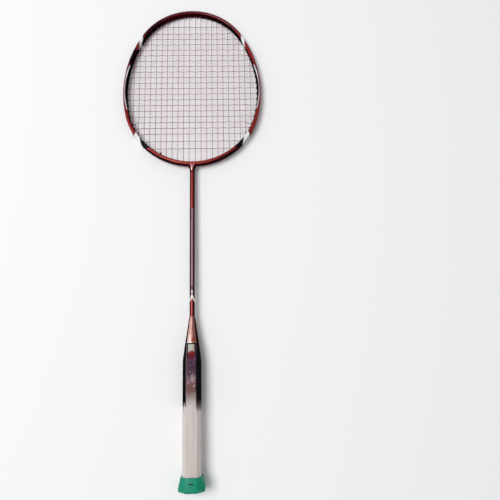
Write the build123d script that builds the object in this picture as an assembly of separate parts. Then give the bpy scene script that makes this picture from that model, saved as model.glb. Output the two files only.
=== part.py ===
from build123d import *
import math
import os

os.makedirs("parts", exist_ok=True)

# The racket lies along Y: the butt end face is on y = 0, the head points to +Y,
# the string bed is the plane z = 0 and the racket is symmetric about x = 0.
# All lengths are in millimetres, all angles in degrees.

# ---- overall and head outline -------------------------------------------------
overall_length = 675.0
head_length = 245.9  # outside, from the throat to the tip
head_width = 200.4  # outside
tip_share = 0.535  # share of the head's length beyond its widest line
side_bow = 0.686  # radius of the side arcs over the head's length

# ---- rim section ----------------------------------------------------------------
rim_width = 5.6  # across the wall of the head, in the string plane
rim_depth = 10.8  # square to the string plane
rim_rounding = 2.5
rim_wall = 0.95
groove_width = 3.8
groove_depth = 1.8

# ---- grommets -------------------------------------------------------------------
bore_diameter = 2.4
barrel_wall = 0.35
nose_length = 0.9  # how far a barrel stands out on the inside of the rim
strip_thickness = 0.45
strip_width = 3.4
drill_clearance = 0.1
share_distance = 4.0  # closer than this, a main and a cross use one hole

# ---- strings --------------------------------------------------------------------
string_diameter = 0.7
string_gap = 0.06  # free space where two strings pass each other
main_count = 22
main_centre_gap = 9.05
outer_main_from_side = 15.1  # from the outermost main to the head's widest line
cross_count = 22
first_cross_from_tip = 25.2
last_cross_from_throat = 26.1
wide_crosses_at_tip = 1  # how many wide gaps there are at the tip
wide_crosses_at_throat = 2
wide_cross_gap = 1.26  # a wide gap over the others
bend_radius = 0.8  # string around the edge of a barrel
groove_bend_radius = 8.0  # string following the groove
groove_lift = 0.2  # string above the strip in the groove
deepest_bend = 2.0  # inside a barrel, where a string starts to turn into the bed
furthest_bend = 0.6  # the same beyond the nose, for the sharpest turns
bend_margin = 0.12  # between a turning string and the edge of its barrel
groove_step = 4.0  # angle between the bends of a string that follows the groove
knot_diameter = 2.7
knot_length = 1.6
knot_rounding = 0.5
tail_length = 1.3  # of a tied string, from the bend to its knot
main_tie = 9  # the main, counted from the middle, that each main tail is tied to
cross_tie_at_tip = 4
cross_tie_at_throat = 5

# ---- shaft and throat joint -------------------------------------------------------
shaft_diameter = 7.0
shaft_wall = 1.1
throat_gap = 4.6  # between the two ends of the head tube
throat_neck = 10.0  # length of the flare between shaft and head
throat_width = 14.2
throat_depth = 9.6
neck_waist = 1.03  # width over the shaft's, a third of the way up the flare
neck_swell = 1.2  # the same, two thirds of the way up
arm_reach = 17.0  # of the joint inside each end of the head tube
stem_reach = 26.0  # of the joint inside the shaft
glue_gap = 0.05

# ---- handle -----------------------------------------------------------------------
handle_width = 23.5
handle_depth = 21.7
facet_share = 0.58  # flat front and side facets over the width and depth
taper_start = 159.6
taper_end = 181.8
taper_width = 17.6
taper_depth = 16.9
shaft_seat = 66.0  # depth of the shaft in the handle, below the taper's end
seat_floor_gap = 0.3
spigot_diameter = 13.6
spigot_length = 6.0

# ---- cone -------------------------------------------------------------------------
cone_length = 34.7
cone_base_diameter = 17.8
cone_lip = 1.6
cone_tip_diameter = 7.8
cone_wall = 1.3
cone_rounding = 0.4

# ---- butt cap and its staples --------------------------------------------------------
cap_height = 18.1
cap_floor = 2.6
cap_mouth_width = 27.8
cap_mouth_depth = 25.9
cap_mouth_share = 0.555  # its flat facets over its width and depth
cap_end_width = 33.8
cap_end_depth = 31.2
cap_end_share = 0.445
cap_shoulder = 5.0  # height of the widest line above the end face
cap_rounding = 3.6
cap_fit = 0.1
staple_wire = 0.9
staple_crown = 5.6
staple_leg = 7.0
staple_height = 11.2
staple_proud = 0.3  # of the crown above the cap's facet
staple_fit = 0.05

# ---- clear film on the front facet ---------------------------------------------------
film_margin = 0.3  # from the film's sides to the facet's edges
film_thickness = 0.15
film_start = 120.3
film_from_taper_end = 1.5


# ---- head outline: crown, side and base arcs that meet tangentially --------------------
tip_y = overall_length
throat_y = tip_y - head_length
widest_y = tip_y - tip_share * head_length
side_radius = side_bow * head_length
side_offset = side_radius - head_width / 2


def end_arc_radius(reach):
    """Radius of the arc on the axis that meets the side arc, reach beyond the widest line."""
    return (side_radius**2 - side_offset**2 - reach**2) / (2 * (side_radius - reach))


crown_radius = end_arc_radius(tip_y - widest_y)
base_radius = end_arc_radius(widest_y - throat_y)
crown_y = tip_y - crown_radius
base_y = throat_y + base_radius
crown_turn = math.degrees(math.atan2(side_offset, crown_y - widest_y))
base_turn = 180 - math.degrees(math.atan2(side_offset, widest_y - base_y))

# Each arc of the right half: where it starts and ends, its centre and its radius. The
# angle is that of the outward normal, clockwise from +Y; the left half is its mirror.
arcs = [
    (0.0, crown_turn, (0.0, crown_y), crown_radius),
    (crown_turn, base_turn, (-side_offset, widest_y), side_radius),
    (base_turn, 180.0, (0.0, base_y), base_radius),
]


def arc_at(angle):
    """The arc of the right half that holds this angle."""
    for arc in arcs:
        if angle <= arc[1]:
            return arc
    return arcs[-1]


def rim_point(angle, inset, z=0.0):
    """The point this far inside the outer outline, where the normal has this angle."""
    side = -1 if angle < 0 else 1
    _, _, (centre_x, centre_y), radius = arc_at(abs(angle))
    turn = math.radians(abs(angle))
    x = centre_x + (radius - inset) * math.sin(turn)
    y = centre_y + (radius - inset) * math.cos(turn)
    return Vector(side * x, y, z)


def outward(angle):
    """The outward normal of the outline."""
    return Vector(math.sin(math.radians(angle)), math.cos(math.radians(angle)), 0)


def angle_where(value, axis, inset, start, end):
    """The angle between start and end where the inset outline reaches x or y."""
    low, high = start, end
    rising = axis(rim_point(end, inset)) > axis(rim_point(start, inset))
    for _ in range(50):
        middle = (low + high) / 2
        if (axis(rim_point(middle, inset)) < value) == rising:
            low = middle
        else:
            high = middle
    return (low + high) / 2


def rim_sweep(profile, start, end):
    """Carry a profile along the outline; its own x is outwards and its y is z."""
    pieces = []
    for side in (1, -1):
        for arc_start, arc_end, (centre_x, centre_y), radius in arcs:
            first, last = sorted((side * arc_start, side * arc_end))
            first = max(first, start)
            last = min(last, end)
            if last - first < 0.001:
                continue
            centre = Vector(side * centre_x, centre_y, 0)
            normal = outward(first)
            clockwise = Vector(normal.Y, -normal.X, 0)
            plane = Plane(origin=centre + normal * radius, x_dir=normal, z_dir=clockwise)
            turn = Axis(centre, (0, 0, -1))
            pieces.append(revolve(plane * profile, axis=turn, revolution_arc=last - first))
    return pieces[0] if len(pieces) == 1 else pieces[0] + pieces[1:]


def band(outer_inset, inner_inset, height):
    """A rectangular profile between two insets."""
    middle = (outer_inset + inner_inset) / 2
    return Pos(-middle, 0) * Rectangle(inner_inset - outer_inset, height)


# ---- string layout ---------------------------------------------------------------------
string_radius = string_diameter / 2
barrel_diameter = bore_diameter + 2 * barrel_wall
nose_inset = rim_width + nose_length
lane = string_diameter + string_gap  # crosses leave the bed this far below the mains
bore_room = bore_diameter / 2 - string_radius
groove_inset = groove_depth - strip_thickness - string_radius - groove_lift


mains_per_side = main_count // 2
outermost_main = head_width / 2 - outer_main_from_side
main_pitch = (outermost_main - main_centre_gap / 2) / (mains_per_side - 1)


def main_x(index):
    """Place of a main, counted from the middle, on the right half."""
    return main_centre_gap / 2 + index * main_pitch


wide_crosses = wide_crosses_at_tip + wide_crosses_at_throat
crossed_length = head_length - first_cross_from_tip - last_cross_from_throat
cross_pitch = crossed_length / (cross_count - 1 + wide_crosses * (wide_cross_gap - 1))

cross_ys = [tip_y - first_cross_from_tip]
for gap_index in range(cross_count - 1):
    gaps_left = cross_count - 1 - gap_index
    is_wide = gap_index < wide_crosses_at_tip or gaps_left <= wide_crosses_at_throat
    cross_ys.append(cross_ys[-1] - cross_pitch * (wide_cross_gap if is_wide else 1))


def bend_depth(bend, lane_offset):
    """How far inside the nose a string can start to turn by this angle."""
    if bend < 1:
        return deepest_bend
    side_room = math.sqrt(max(bore_room**2 - lane_offset**2, 0)) - bend_margin
    lean = string_radius * (1 / math.cos(math.radians(bend)) - 1)
    depth = (side_room - lean) / math.tan(math.radians(bend))
    return max(-furthest_bend, min(depth, deepest_bend))


def bend_inset(angle, direction, lane_offset):
    """Inset of the point where a string from this hole turns into the bed."""
    bend = (-outward(angle)).get_angle(direction)
    return nose_inset - bend_depth(bend, lane_offset)


def hole_angle(value, axis, direction, lane_offset, start, end):
    """Angle of the hole whose string leaves the bend exactly at this x or y."""
    inset = nose_inset
    for _ in range(6):
        angle = angle_where(value, axis, inset, start, end)
        inset = bend_inset(angle, direction, lane_offset)
    return angle


def x_of(point):
    return point.X


def y_of(point):
    return point.Y


to_throat = Vector(0, -1, 0)
to_tip = Vector(0, 1, 0)
to_left = Vector(-1, 0, 0)

# Angles of the holes on the right half, for each main at the tip and at the throat.
tip_angles = []
throat_angles = []
for i in range(mains_per_side):
    tip_angles.append(hole_angle(main_x(i), x_of, to_throat, 0.0, 0, 90))
    throat_angles.append(hole_angle(main_x(i), x_of, to_tip, 0.0, 90, 180))

# A cross uses the hole of a main where the two would come too close together.
cross_angles = []
cross_partner = []  # the main that the hole is shared with, or None
for y in cross_ys:
    own = hole_angle(y, y_of, to_left, lane, 0, 180)
    mains_ends = list(enumerate(tip_angles)) + list(enumerate(throat_angles))
    gaps = [
        ((rim_point(own, rim_width) - rim_point(angle, rim_width)).length, index, angle)
        for index, angle in mains_ends
    ]
    nearest, index, angle = min(gaps)
    shared = nearest < share_distance
    cross_angles.append(angle if shared else own)
    cross_partner.append(index if shared else None)

right_holes = sorted(set(tip_angles + throat_angles + cross_angles))
all_holes = [-angle for angle in reversed(right_holes)] + right_holes


def barrel(angle, diameter, outer_inset, inner_inset):
    """A round bar along the normal, between two insets."""
    plane = Plane(origin=rim_point(angle, inner_inset), z_dir=outward(angle))
    return extrude(plane * Circle(diameter / 2), inner_inset - outer_inset)


def plane_at(y):
    """Plane across the racket's axis, facing the head."""
    return Plane((0, y, 0), x_dir=(1, 0, 0), z_dir=(0, 1, 0))


# ---- head ------------------------------------------------------------------------------
rim_profile = Pos(-rim_width / 2, 0) * RectangleRounded(rim_width, rim_depth, rim_rounding)
full_share = 0.49  # corner radius over the width of a section that is nearly round
cavity_width = rim_width - groove_depth - 2 * rim_wall
cavity_depth = rim_depth - 2 * rim_wall
cavity_middle = groove_depth + rim_wall + cavity_width / 2


def cavity_profile(clearance):
    """The hollow of the rim, made smaller all round by a clearance."""
    width = cavity_width - 2 * clearance
    depth = cavity_depth - 2 * clearance
    return Pos(-cavity_middle, 0) * RectangleRounded(width, depth, full_share * width)


shaft_end = throat_y - throat_neck
throat_turn = math.degrees(throat_gap / 2 / base_radius)
arm_turn = math.degrees(arm_reach / base_radius)
overrun = 1.0  # of a cut past the surface that it opens
drills = [
    barrel(angle, barrel_diameter + 2 * drill_clearance, -overrun, rim_width + overrun)
    for angle in all_holes
]


def build_head_frame():
    """Hollow tube bent into the oval, with an outer groove and the string holes."""
    groove = band(-overrun, groove_depth, groove_width)
    section = rim_profile - groove - cavity_profile(0)
    hoop = rim_sweep(section, throat_turn - 180, 180 - throat_turn)
    return hoop - drills


def build_throat_joint():
    """Tee that closes the hoop: arms in the tube ends, flare, and a stem in the shaft."""
    block = rim_sweep(rim_profile, 180 - throat_turn, 180)
    block += rim_sweep(rim_profile, -180, throat_turn - 180)
    arm_section = cavity_profile(glue_gap)
    arms = rim_sweep(arm_section, 180 - arm_turn, 180)
    arms += rim_sweep(arm_section, -180, arm_turn - 180)
    widths = [
        (shaft_diameter, shaft_diameter),
        (shaft_diameter * neck_waist, shaft_diameter * neck_waist),
        (shaft_diameter * neck_swell, shaft_diameter * neck_swell),
        (throat_width, throat_depth),
    ]
    sections = []
    for number, (width, depth) in enumerate(widths):
        plane = plane_at(shaft_end + throat_neck * number / (len(widths) - 1))
        rounding = full_share * min(width, depth)
        sections.append(plane * RectangleRounded(width, depth, rounding))
    neck = loft(sections)
    neck += extrude(sections[-1], rim_width / 2)
    wrap = math.degrees(throat_width / base_radius)
    neck -= rim_sweep(rim_profile, 180 - wrap, 180) + rim_sweep(rim_profile, -180, wrap - 180)
    stem_radius = shaft_diameter / 2 - shaft_wall - glue_gap
    stem = extrude(plane_at(shaft_end - stem_reach) * Circle(stem_radius), stem_reach + overrun)
    return (block + arms + neck + stem) - drills


# ---- grommet strips --------------------------------------------------------------------
strip_groups = {
    "upper": (tip_angles[3], tip_angles[-1]),
    "side": (tip_angles[-1], throat_angles[-1]),
    "lower": (throat_angles[-1], throat_angles[3]),
    "throat": (throat_angles[3], 180.0),
}
strip_gap = 0.3  # between two strips, and between a strip and the throat joint


def build_strip(holes, start, end):
    """Band in the groove between two angles, with a barrel through each hole."""
    trim = math.degrees(strip_gap / 2 / side_radius)
    floor = band(groove_depth - strip_thickness, groove_depth, strip_width)
    strip = rim_sweep(floor, start + trim, end - trim)
    strip += [
        barrel(angle, barrel_diameter, groove_depth - strip_thickness / 2, nose_inset)
        for angle in holes
    ]
    return strip - [barrel(angle, bore_diameter, 0.0, nose_inset + overrun) for angle in holes]


# ---- strings ---------------------------------------------------------------------------
def bent_path(points, radii):
    """Straight runs joined by tangent arcs, one radius for each inner point."""
    edges = []
    start = points[0]
    for before, corner, after, radius in zip(points, points[1:], points[2:], radii):
        arriving = (corner - before).normalized()
        leaving = (after - corner).normalized()
        half_turn = math.radians(arriving.get_angle(leaving)) / 2
        if half_turn < 0.0005:
            continue
        reach = radius * math.tan(half_turn)
        first = corner - arriving * reach
        last = corner + leaving * reach
        towards_centre = (leaving - arriving).normalized()
        middle = corner + towards_centre * (radius / math.cos(half_turn) - radius)
        edges.append(Edge.make_line(start, first))
        edges.append(Edge.make_three_point_arc(first, middle, last))
        start = last
    edges.append(Edge.make_line(start, points[-1]))
    return Wire(edges)


def string_solid(points, radii):
    """Round string along a bent path."""
    path = bent_path(points, radii)
    plane = Plane(origin=points[0], z_dir=(points[1] - points[0]).normalized())
    return sweep(plane * Circle(string_radius), path=path)


def groove_points(start, end, start_z, end_z):
    """Points along the groove from one hole to another, both holes included."""
    steps = max(1, math.ceil(abs(end - start) / groove_step))
    return [
        rim_point(
            start + (end - start) * step / steps,
            groove_inset,
            start_z + (end_z - start_z) * step / steps,
        )
        for step in range(steps + 1)
    ]


def groove_radii(count):
    """Bends of a run through the groove: sharp at both holes, gentle between."""
    return [bend_radius] + [groove_bend_radius] * (count - 2) + [bend_radius]


def tied_tail(hole, tie_hole, hole_z, tail_z, toward):
    """Points and radii of a tail: out of a hole, along the groove, in again to its knot."""
    run = groove_points(hole, tie_hole, hole_z, tail_z)
    inset = bend_inset(tie_hole, toward, tail_z)
    bend = rim_point(tie_hole, inset, tail_z)
    end = bend + toward * tail_length
    return run + [bend, end], groove_radii(len(run)) + [bend_radius]


# The mains are one string: it goes up and down from the left to the right, passes from
# one main to the next in the groove, and crosses the middle at the tip, not at the throat.
signed_mains = [(-1, i) for i in reversed(range(mains_per_side))]
signed_mains += [(1, i) for i in range(mains_per_side)]


def main_end(side, index, at_tip):
    """Hole angle and bed point of one end of a main."""
    angle = side * (tip_angles[index] if at_tip else throat_angles[index])
    direction = to_throat if at_tip else to_tip
    return angle, rim_point(angle, bend_inset(angle, direction, 0.0))


def build_main_string():
    """The whole main string with its two tails."""
    tail_side, outermost = signed_mains[0]
    starts_at_tip = (mains_per_side % 2) == 0
    angle, _ = main_end(tail_side, outermost, starts_at_tip)
    tie_angle, _ = main_end(tail_side, main_tie, starts_at_tip)
    toward = to_throat if starts_at_tip else to_tip
    tail, tail_radii = tied_tail(angle, tie_angle, 0.0, lane, toward)
    points = list(reversed(tail))
    radii = list(reversed(tail_radii))
    at_tip = starts_at_tip
    for number, (side, index) in enumerate(signed_mains):
        _, first = main_end(side, index, at_tip)
        far_angle, last = main_end(side, index, not at_tip)
        points += [first, last]
        radii += [bend_radius, bend_radius]
        at_tip = not at_tip
        if number + 1 < len(signed_mains):
            next_angle, _ = main_end(*signed_mains[number + 1], at_tip)
            run = groove_points(far_angle, next_angle, 0.0, 0.0)
            points += run
            radii += groove_radii(len(run))
    tie_angle, _ = main_end(1, main_tie, at_tip)
    tail, tail_radii = tied_tail(far_angle, tie_angle, 0.0, lane, to_throat if at_tip else to_tip)
    return string_solid(points + tail, radii + tail_radii)


weave_radius = string_diameter  # a cross bends round the main that it touches
weave_room = 4 * lane  # nearer its hole than this, a cross stays under the mains
level_run = 3.0  # of a cross beside the main that shares its hole


def cross_run(index):
    """Points of one cross from the left bend to the right bend, woven over and under."""
    y = cross_ys[index]
    angle = cross_angles[index]
    nose = rim_point(angle, nose_inset)
    crossed = [
        main
        for main in range(mains_per_side)
        if main_x(main) < nose.X - string_diameter and cross_partner[index] != main
    ]
    first_crossing = Vector(main_x(crossed[-1]), y)
    inset = bend_inset(angle, (first_crossing - nose).normalized(), lane)
    right_end = [rim_point(angle, inset, -lane)]
    if cross_partner[index] is not None:
        # It stays level until it is clear of the main that shares its hole.
        toward = (first_crossing - rim_point(angle, inset)).normalized()
        right_end.append(right_end[0] + toward * level_run)
    stops = [Vector(-end.X, end.Y, end.Z) for end in right_end]
    for number, (side, main) in enumerate(signed_mains):
        if main in crossed:
            goes_over = (number + index) % 2 == 0
            has_room = right_end[-1].X - main_x(main) > weave_room
            stops.append(Vector(side * main_x(main), y, lane if goes_over and has_room else -lane))
    stops += reversed(right_end)
    points = list(stops)
    for number in range(len(right_end), len(stops) - len(right_end)):
        # The steeper a cross leaves a main, the higher its corner, so that it clears it.
        stop = stops[number]
        ends = (stops[number - 1], stops[number + 1])
        slope = max(abs((stop.Z - end.Z) / (stop.X - end.X)) for end in ends)
        points[number] = Vector(stop.X, y, stop.Z * math.hypot(1, slope))
    return points


def build_cross_string():
    """The whole cross string with its two tails, woven through the mains."""
    tie_angle = -tip_angles[cross_tie_at_tip]
    tail, tail_radii = tied_tail(-cross_angles[0], tie_angle, -lane, -lane, to_throat)
    points = list(reversed(tail))
    radii = list(reversed(tail_radii))
    side = -1
    for index in range(cross_count):
        run = cross_run(index)
        if side > 0:
            run = list(reversed(run))
        points += run
        radii += [bend_radius] + [weave_radius] * (len(run) - 2) + [bend_radius]
        side = -side
        if index + 1 < cross_count:
            next_angle = side * cross_angles[index + 1]
            loop = groove_points(side * cross_angles[index], next_angle, -lane, -lane)
            points += loop
            radii += groove_radii(len(loop))
    tie_angle = side * throat_angles[cross_tie_at_throat]
    tail, tail_radii = tied_tail(side * cross_angles[-1], tie_angle, -lane, -lane, to_tip)
    return string_solid(points + tail, radii + tail_radii)


def build_knot(angle, direction):
    """Knot round a main, just inside its nose, against the end of a tail."""
    main = rim_point(angle, bend_inset(angle, direction, 0.0))
    tail = rim_point(angle, bend_inset(angle, direction, lane)) + direction * tail_length
    plane = Plane(origin=(main.X, tail.Y, 0), z_dir=direction)
    knot = extrude(plane * Circle(knot_diameter / 2), knot_length)
    knot = fillet(knot.edges().filter_by(GeomType.CIRCLE), knot_rounding)
    bore = extrude(plane * Circle(string_radius + string_gap), knot_length)
    return knot - bore


# ---- shaft, cone and handle ---------------------------------------------------------------
shaft_start = taper_end - shaft_seat


def octagon(width, depth, share):
    """Octagon with broad facets on all four sides."""
    flat_x = share * width / 2
    flat_z = share * depth / 2
    half_x = width / 2
    half_z = depth / 2
    corners = [
        (flat_x, half_z),
        (half_x, flat_z),
        (half_x, -flat_z),
        (flat_x, -half_z),
        (-flat_x, -half_z),
        (-half_x, -flat_z),
        (-half_x, flat_z),
        (-flat_x, half_z),
    ]
    return make_face(Polyline(*corners, close=True))


def build_shaft():
    """Straight hollow tube from the throat joint into the handle."""
    ring = Circle(shaft_diameter / 2) - Circle(shaft_diameter / 2 - shaft_wall)
    return extrude(plane_at(shaft_start) * ring, shaft_end - shaft_start)


def build_cone():
    """Moulded cone over the shaft, seated on the handle's end."""
    base = cone_base_diameter / 2
    tip = cone_tip_diameter / 2
    shaft_bore = shaft_diameter / 2 + glue_gap
    skirt = spigot_diameter / 2 + glue_gap
    skirt_end = taper_end + spigot_length + seat_floor_gap
    cone_end = taper_end + cone_length
    slope_run = (skirt - shaft_bore) * cone_length / (base - tip)
    outline = Polyline(
        (shaft_bore, cone_end),
        (tip, cone_end),
        (base, taper_end + cone_lip),
        (base, taper_end),
        (skirt, taper_end),
        (skirt, skirt_end),
        (shaft_bore, min(skirt_end + slope_run, cone_end - cone_wall)),
        close=True,
    )
    cone = revolve(make_face(outline), axis=Axis.Y)
    rims = cone.edges().filter_by(GeomType.CIRCLE)
    outer = [edge for edge in rims if abs(edge.radius - base) < 0.001]
    return fillet(outer, cone_rounding)


def build_handle():
    """Bare wooden handle: octagonal, tapered to the cone, with a spigot and a blind bore."""
    section = octagon(handle_width, handle_depth, facet_share)
    straight = extrude(plane_at(cap_floor) * section, taper_start - cap_floor)
    taper = loft(
        [
            plane_at(taper_start) * section,
            plane_at(taper_end) * octagon(taper_width, taper_depth, facet_share),
        ]
    )
    spigot = extrude(plane_at(taper_end) * Circle(spigot_diameter / 2), spigot_length)
    bore_start = shaft_start - seat_floor_gap
    bore_length = taper_end + spigot_length - bore_start
    bore = extrude(plane_at(bore_start) * Circle(shaft_diameter / 2 + glue_gap), bore_length)
    return straight + taper + spigot - bore - staple_holes()


# ---- butt cap ------------------------------------------------------------------------------
def cap_face_z(y):
    """Half depth of the cap at this height above its end face."""
    share = (y - cap_shoulder) / (cap_height - cap_shoulder)
    return (cap_end_depth + (cap_mouth_depth - cap_end_depth) * share) / 2


def build_staple(grow):
    """Wire staple through the front facet of the cap, fatter by grow all round."""
    wire = staple_wire + 2 * grow
    crown_z = cap_face_z(staple_height) + staple_proud - staple_wire / 2
    crown = Pos(0, staple_height, crown_z) * Box(staple_crown + 2 * grow, wire, wire)
    legs = []
    for side in (1, -1):
        x = side * (staple_crown - staple_wire) / 2
        leg_end = crown_z - staple_leg
        middle = (crown_z + leg_end) / 2
        legs.append(Pos(x, staple_height, middle) * Box(wire, wire, staple_leg + 2 * grow))
    return crown + legs


def both_sides(solid):
    """A solid and its copy on the other face of the racket."""
    return [solid, mirror(solid, about=Plane.XY)]


def staple_holes():
    """Room for the staples in the cap and the wood."""
    return both_sides(build_staple(staple_fit))


def build_butt_cap():
    """Moulded cap: octagonal, flared to the end, with a pocket for the handle."""
    widest = octagon(cap_end_width, cap_end_depth, cap_end_share)
    mouth = octagon(cap_mouth_width, cap_mouth_depth, cap_mouth_share)
    flare = loft([plane_at(cap_shoulder) * widest, plane_at(cap_height) * mouth])
    heel = extrude(plane_at(0) * widest, cap_shoulder)
    cap = flare + heel
    end_edges = cap.faces().sort_by(Axis.Y)[0].edges()
    cap = fillet(end_edges, cap_rounding)
    room = octagon(handle_width + 2 * cap_fit, handle_depth + 2 * cap_fit, facet_share)
    pocket = extrude(plane_at(cap_floor) * room, cap_height)
    return cap - pocket - staple_holes()


def build_staples():
    """One staple in the front facet and one in the back facet."""
    staple = build_staple(0)
    rounded = fillet(staple.edges().group_by(Axis.Z)[-1].filter_by(Axis.X), staple_wire * 0.3)
    return Compound(children=both_sides(rounded))


def build_film():
    """Clear film on the front facet, bent and narrowed where the handle tapers."""
    film_end = taper_end - film_from_taper_end
    tapered = (film_end - taper_start) / (taper_end - taper_start)
    half_depth = handle_depth / 2
    end_depth = half_depth + (taper_depth - handle_depth) / 2 * tapered
    half_width = facet_share * handle_width / 2 - film_margin
    end_width = half_width + facet_share * (taper_width - handle_width) / 2 * tapered
    profile = Polyline(
        (film_start, half_depth),
        (taper_start, half_depth),
        (film_end, end_depth),
        (film_end, end_depth + film_thickness),
        (taper_start, half_depth + film_thickness),
        (film_start, half_depth + film_thickness),
        close=True,
    )
    outline = Polyline(
        (-half_width, film_start),
        (half_width, film_start),
        (half_width, taper_start),
        (end_width, film_end),
        (-end_width, film_end),
        (-half_width, taper_start),
        close=True,
    )
    side_plane = Plane(origin=(-half_width, 0, 0), x_dir=(0, 1, 0), z_dir=(1, 0, 0))
    layer = extrude(side_plane * make_face(profile), 2 * half_width)
    return layer & extrude(make_face(outline), handle_depth)


# ---- write the nodes -----------------------------------------------------------------------
nodes = {
    "head_frame": build_head_frame(),
    "throat_joint": build_throat_joint(),
    "shaft": build_shaft(),
    "cone": build_cone(),
    "handle_wood": build_handle(),
    "butt_cap": build_butt_cap(),
    "cap_staples": build_staples(),
    "handle_film": build_film(),
    "main_string": build_main_string(),
    "cross_string": build_cross_string(),
}

# The tip strip spans the middle; the others come in pairs. Two strips part halfway
# between their nearest holes.
def parting(limit):
    """Angle halfway between the holes before and from this angle."""
    before = max(angle for angle in right_holes if angle < limit)
    after = min(angle for angle in right_holes if angle >= limit)
    return (before + after) / 2


tip_end = parting(tip_angles[3])
nodes["grommet_strip_tip"] = build_strip(
    [angle for angle in all_holes if abs(angle) < tip_end], -tip_end, tip_end
)
for name, (low, high) in strip_groups.items():
    start = parting(low)
    end = parting(high) if high < 180 else 180 - throat_turn
    holes = [angle for angle in right_holes if start < angle < end]
    nodes["grommet_strip_%s_right" % name] = build_strip(holes, start, end)
    mirrored = [-angle for angle in holes]
    nodes["grommet_strip_%s_left" % name] = build_strip(mirrored, -end, -start)

knots = [
    build_knot(-tip_angles[cross_tie_at_tip], to_throat),
    build_knot(-throat_angles[cross_tie_at_throat], to_tip),
    build_knot(-throat_angles[main_tie], to_tip),
    build_knot(throat_angles[main_tie], to_tip),
]
nodes["string_knots"] = Compound(children=knots)

for name, shape in nodes.items():
    export_step(shape, "parts/%s.step" % name)
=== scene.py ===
import math

import bpy
from mathutils import Matrix, Vector


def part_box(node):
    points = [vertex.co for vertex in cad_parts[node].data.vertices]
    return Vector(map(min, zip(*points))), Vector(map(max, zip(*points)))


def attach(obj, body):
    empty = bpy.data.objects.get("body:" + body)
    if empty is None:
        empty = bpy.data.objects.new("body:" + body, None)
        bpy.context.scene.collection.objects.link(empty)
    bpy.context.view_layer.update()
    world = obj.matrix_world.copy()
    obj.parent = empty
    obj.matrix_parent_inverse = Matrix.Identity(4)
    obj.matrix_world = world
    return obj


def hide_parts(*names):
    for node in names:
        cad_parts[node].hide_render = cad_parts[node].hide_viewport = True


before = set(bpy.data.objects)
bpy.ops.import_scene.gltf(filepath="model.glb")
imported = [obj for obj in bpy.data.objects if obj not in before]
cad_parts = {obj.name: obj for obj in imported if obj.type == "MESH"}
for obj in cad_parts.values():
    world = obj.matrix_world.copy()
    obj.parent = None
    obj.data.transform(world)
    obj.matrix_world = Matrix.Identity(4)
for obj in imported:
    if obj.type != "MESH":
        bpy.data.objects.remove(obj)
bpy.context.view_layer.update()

# The racket lies front up: Y runs from the butt cap to the tip, and Z out of the front.
MM = 0.001
NEAR = 0.01 * MM  # two places closer than this are the same
DOUBLES = 0.001 * MM  # points closer than this are merged

# ---- sizes taken from the frame, and the few that its boxes don't give ----
head_low, head_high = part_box("head_frame")
shaft_low, shaft_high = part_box("shaft")
cone_low, cone_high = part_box("cone")
wood_low, wood_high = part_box("handle_wood")
cap_low, cap_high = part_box("butt_cap")
staple_low, staple_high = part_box("cap_staples")

head_length = 245.9 * MM
widest_share = 0.535  # of the head's length, from the tip
side_radius_share = 0.686  # of the head's length
head_width = head_high.x - head_low.x
rim_depth = head_high.z - head_low.z
tip_y = head_high.y
throat_y = tip_y - head_length
widest_y = tip_y - widest_share * head_length
side_radius = side_radius_share * head_length
side_offset = side_radius - head_width / 2

rim_width = 5.6 * MM
rim_rounding = 2.5 * MM
rim_corner_steps = 6
rim_step = 1.25  # degrees of the outline from one section to the next
groove_width = 3.8 * MM
groove_depth = 1.8 * MM
groove_lip = 0.25 * MM
throat_gap = 4.6 * MM
throat_width = 14.2 * MM
throat_depth = 9.6 * MM
flare_steps = 10

shaft_radius = (shaft_high.x - shaft_low.x) / 2
shaft_wall = 1.1 * MM
shaft_sides = 64
neck_start = shaft_high.y
neck_sides = 48

cone_tip_radius = 3.9 * MM
cone_seat_radius = 6.8 * MM
cone_lip = 1.6 * MM
cone_edge = 0.3 * MM
cone_tip_edge = 0.25 * MM
cone_hollow = 0.12 * MM
cone_steps = 12
cone_sides = 96

taper_start = 159.6 * MM
taper_end = cone_low.y
taper_width = 17.6 * MM
taper_depth = 16.9 * MM
handle_width = wood_high.x - wood_low.x
handle_depth = wood_high.z - wood_low.z
handle_rounding = 0.45 * MM
edge_steps = 3
facet_share = 0.58

cap_shoulder = 5.0 * MM
cap_end_rounding = 3.6 * MM
cap_end_steps = 6
cap_edge_rounding = 0.5 * MM
cap_mouth_width = 27.8 * MM
cap_mouth_depth = 25.9 * MM
cap_mouth_share = 0.555
cap_end_share = 0.445
cap_slack = 0.1 * MM
cap_mouth_dip = 2 * MM
long_edge = 3 * MM  # an edge that runs further than this along Y is a lengthways one


# ---- modelling by operators ----
def deselect():
    """Leave nothing selected, in object mode."""
    if bpy.context.object and bpy.context.object.mode != "OBJECT":
        bpy.ops.object.mode_set(mode="OBJECT")
    bpy.ops.object.select_all(action="DESELECT")


def work_on(obj):
    """Make this the only selected object, and the active one."""
    deselect()
    obj.select_set(True)
    bpy.context.view_layer.objects.active = obj


def edit(obj, what="VERT", everything=False):
    """Edit this object in this select mode, with nothing or everything selected."""
    work_on(obj)
    bpy.ops.object.mode_set(mode="EDIT")
    bpy.ops.mesh.select_mode(type=what)
    bpy.ops.mesh.select_all(action="SELECT" if everything else "DESELECT")


def end_edit():
    bpy.ops.object.mode_set(mode="OBJECT")


def pick(obj, kind, test):
    """In edit mode, select the vertices, edges or polygons that pass a test."""
    end_edit()
    for parts in (obj.data.vertices, obj.data.edges, obj.data.polygons):
        for part in parts:
            part.select = False
    for part in getattr(obj.data, kind):
        part.select = bool(test(part))
    bpy.ops.object.mode_set(mode="EDIT")


def extrude(step):
    bpy.ops.mesh.extrude_region_move(TRANSFORM_OT_translate={"value": step})


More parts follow.
